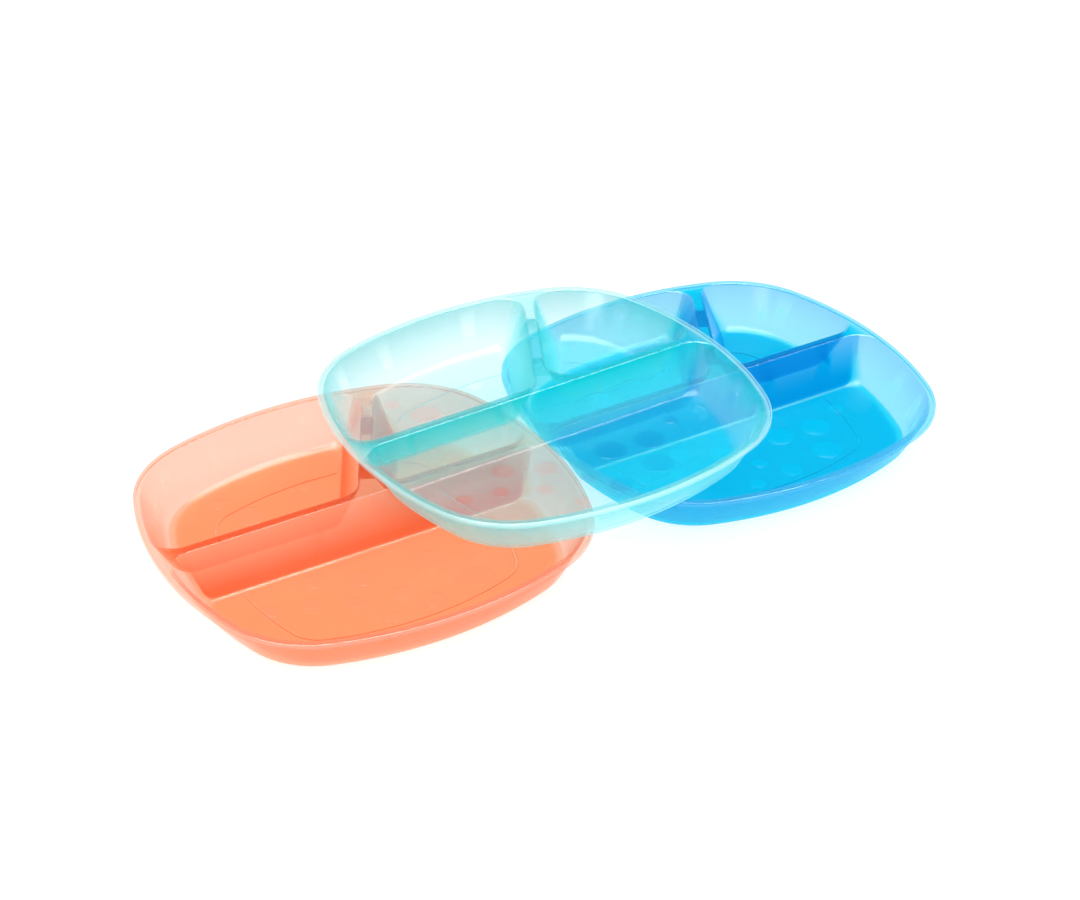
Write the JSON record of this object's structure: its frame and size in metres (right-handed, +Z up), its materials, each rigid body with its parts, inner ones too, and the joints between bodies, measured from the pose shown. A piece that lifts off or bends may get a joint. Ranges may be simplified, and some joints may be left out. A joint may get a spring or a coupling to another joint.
{
  "type": "divided plate set",
  "caption": "Set of rounded square divided plates in clear tinted plastic, two end to end and one lying across both, each with one long and two shorter compartments.",
  "frame": {"origin": "centre of the set's bounding box at the table", "axes": "+X along the row from the coral plate to the blue plate, +Y to the rear, where each plate has its two shorter compartments, +Z up"},
  "size_m": [0.4204, 0.2116, 0.0522],
  "materials": {
    "coral_plastic": "translucent satin gloss",
    "aqua_plastic": "translucent satin gloss",
    "blue_plastic": "translucent satin gloss"
  },
  "bodies": {
    "coral": {"coral_plate": "coral_plastic"},
    "aqua": {"aqua_plate": "aqua_plastic"},
    "blue": {"blue_plate": "blue_plastic"}
  },
  "joints": [
    {"name": "aqua_lift", "type": "slide", "parent": "coral", "child": "aqua", "axis": [0, 0, 1], "range_m": [0, 0.1]},
    {"name": "blue_slide", "type": "slide", "parent": "coral", "child": "blue", "axis": [1, 0, 0], "range_m": [0, 0.12]}
  ]
}
